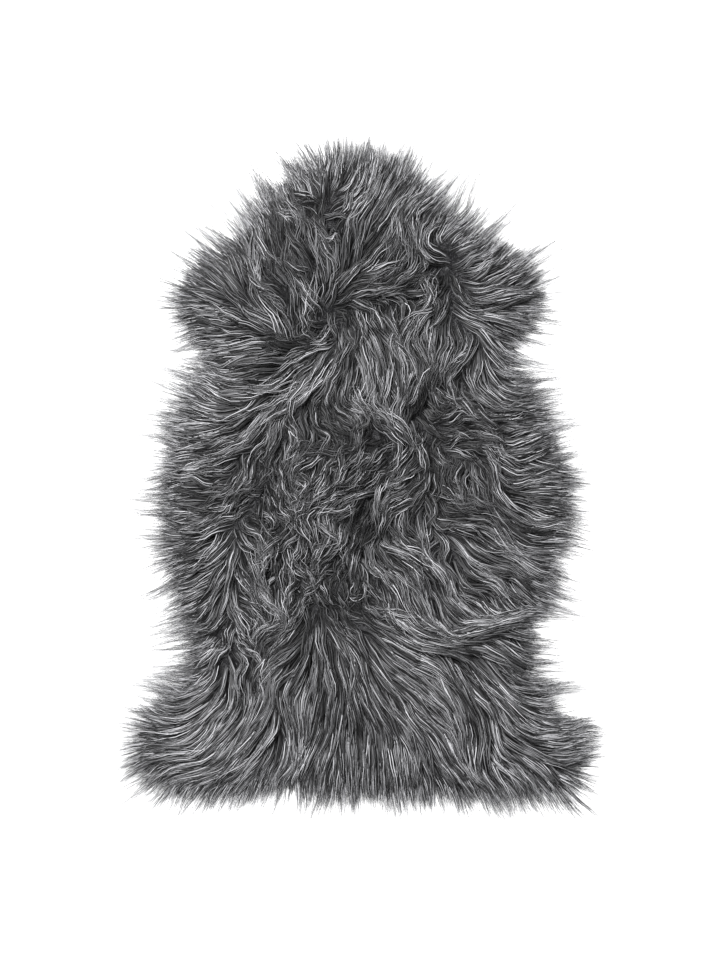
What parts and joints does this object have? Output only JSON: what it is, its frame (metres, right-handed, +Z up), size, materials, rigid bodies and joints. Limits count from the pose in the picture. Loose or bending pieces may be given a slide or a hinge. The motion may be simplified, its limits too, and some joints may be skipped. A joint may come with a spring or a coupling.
{
  "type": "sheepskin rug",
  "caption": "Long-haired grey sheepskin rug laid flat in the outline of the whole pelt, with shaggy locks of wool around its rim.",
  "frame": {"origin": "middle of the rug's own box, on the surface it lies on", "axes": "+Y along the back towards the neck, +X towards the rug's right side seen from above, +Z up out of the wool"},
  "size_m": [0.645, 0.9142, 0.061],
  "materials": {
    "grey_wool": "long loose wool, dark at the roots and lighter towards the tips, soft sheen",
    "suede_skin": "matt suede underside of the tanned skin"
  },
  "bodies": {
    "root": {"sheepskin": "grey_wool"}
  },
  "joints": []
}
